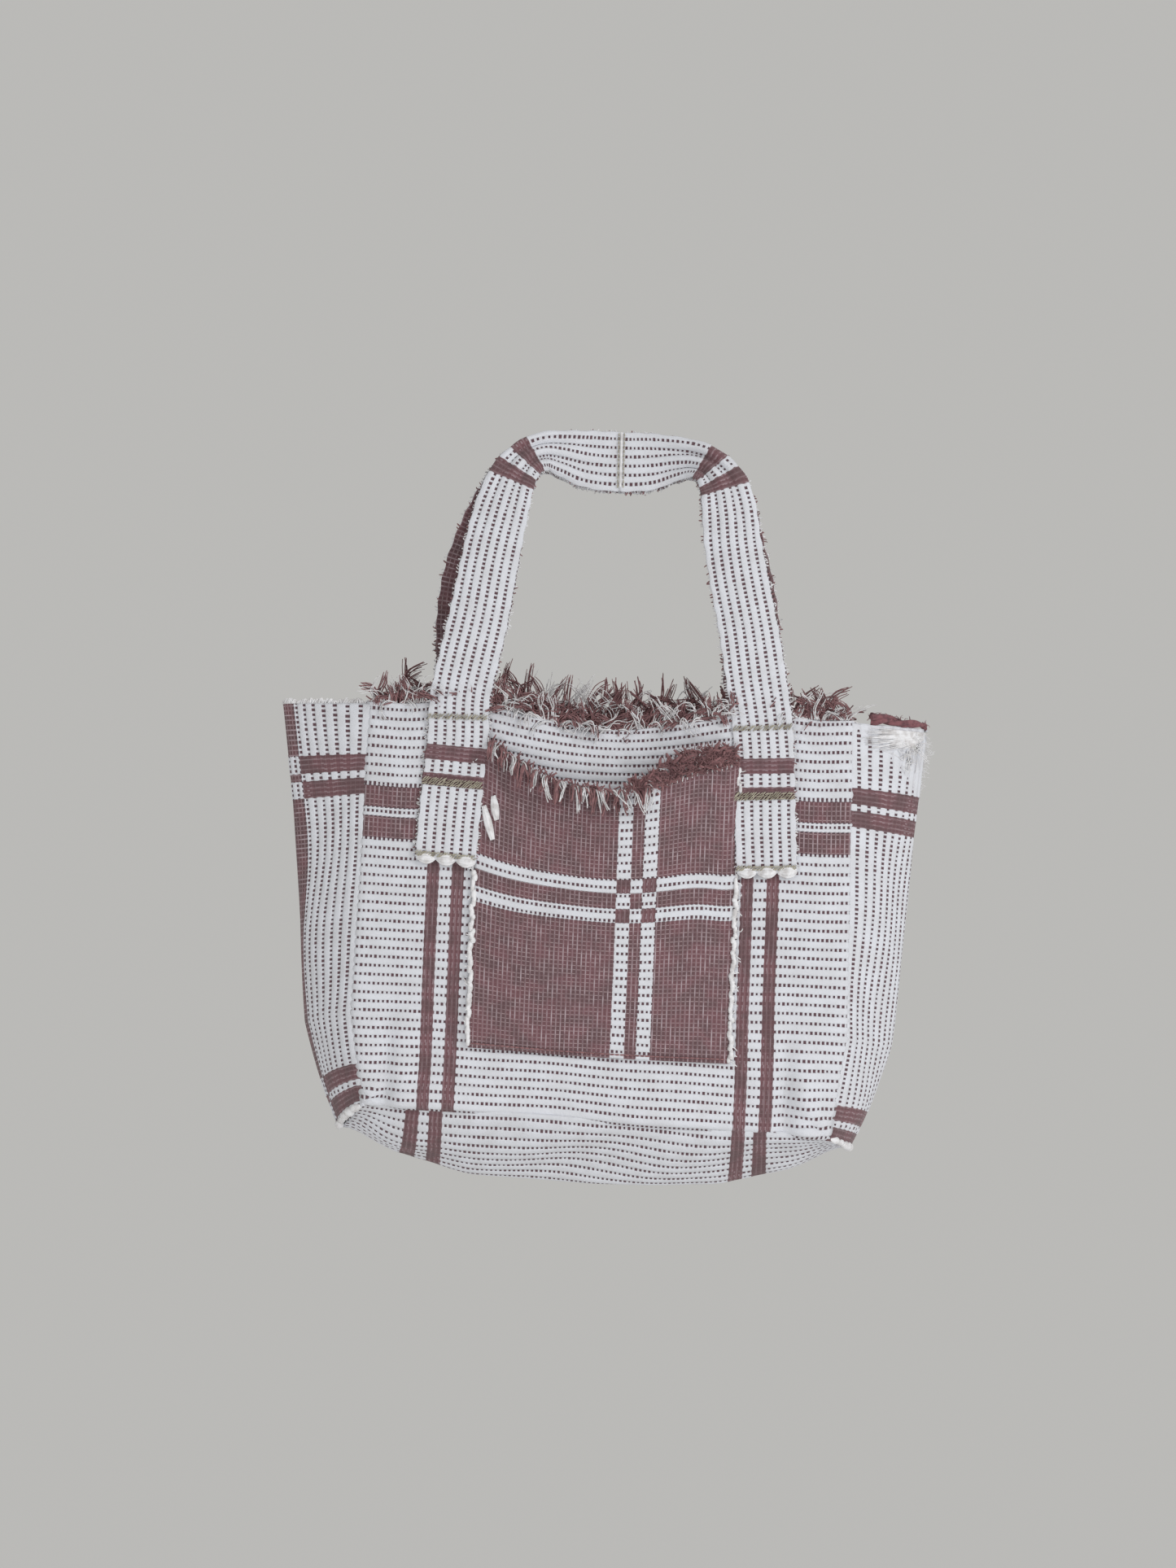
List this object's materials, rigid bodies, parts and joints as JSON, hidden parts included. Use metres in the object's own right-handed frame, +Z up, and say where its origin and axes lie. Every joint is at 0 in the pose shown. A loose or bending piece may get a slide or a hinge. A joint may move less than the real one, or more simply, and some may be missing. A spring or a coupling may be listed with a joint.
{
  "type": "tote bag",
  "caption": "Handwoven cotton tote with folded side and bottom strips, an open front patch pocket, fringed rims and paired loop handles.",
  "frame": {"origin": "middle of the underside of the two handles' grips, where a hook, rail or hanger carries the bag", "axes": "+Z up from the bag to the grips, -Y out of the face with the pocket, +X to the right seen from that face"},
  "size_m": [0.392, 0.0771, 0.47],
  "materials": {
    "ribbed_cloth": "off-white ribbed handloom cotton with rows of brown dashes",
    "brown_cloth": "dusty brown handloom cotton with thin white dashed rows",
    "strap_cloth": "off-white ribbed cotton strap with lengthwise brown dashes",
    "fringe_yarn": "loose curly brown and white cotton yarn",
    "white_yarn": "off-white soft cotton yarn",
    "khaki_thread": "matt khaki sewing cotton"
  },
  "bodies": {
    "bag": {"back_bottom_seam": "white_yarn", "back_left_seam": "white_yarn", "back_left_strap_end": "strap_cloth", "back_left_strap_stitching": "khaki_thread", "back_panel": "ribbed_cloth", "back_right_seam": "white_yarn", "back_right_strap_end": "strap_cloth", "back_right_strap_stitching": "khaki_thread", "back_rim_fringe": "fringe_yarn", "bottom_gusset": "ribbed_cloth", "front_bottom_seam": "white_yarn", "front_left_seam": "white_yarn", "front_left_strap_end": "strap_cloth", "front_left_strap_stitching": "khaki_thread", "front_panel": "ribbed_cloth", "front_pocket": "brown_cloth", "front_right_seam": "white_yarn", "front_right_strap_end": "strap_cloth", "front_right_strap_stitching": "khaki_thread", "front_rim_fringe": "fringe_yarn", "left_corner_seam": "white_yarn", "left_gusset": "ribbed_cloth", "left_gusset_fringe": "white_yarn", "pocket_bottom_stitching": "white_yarn", "pocket_darn": "white_yarn", "pocket_fringe": "fringe_yarn", "pocket_left_edging": "white_yarn", "pocket_right_edging": "white_yarn", "right_corner_seam": "white_yarn", "right_gusset": "ribbed_cloth", "right_gusset_rolled_edge": "fringe_yarn"},
    "front_handle": {"front_left_strap": "strap_cloth", "front_right_strap": "strap_cloth", "front_handle_join": "khaki_thread"},
    "back_handle": {"back_left_strap": "strap_cloth", "back_right_strap": "strap_cloth", "back_handle_join": "khaki_thread"}
  },
  "joints": [
    {"name": "front_handle_fold", "type": "hinge", "parent": "bag", "child": "front_handle", "pos_m": [0, -0.0232, -0.143], "axis": [1, 0, 0], "range_deg": [0, 165]},
    {"name": "back_handle_fold", "type": "hinge", "parent": "bag", "child": "back_handle", "pos_m": [0, 0.0232, -0.143], "axis": [-1, 0, 0], "range_deg": [0, 165]}
  ]
}
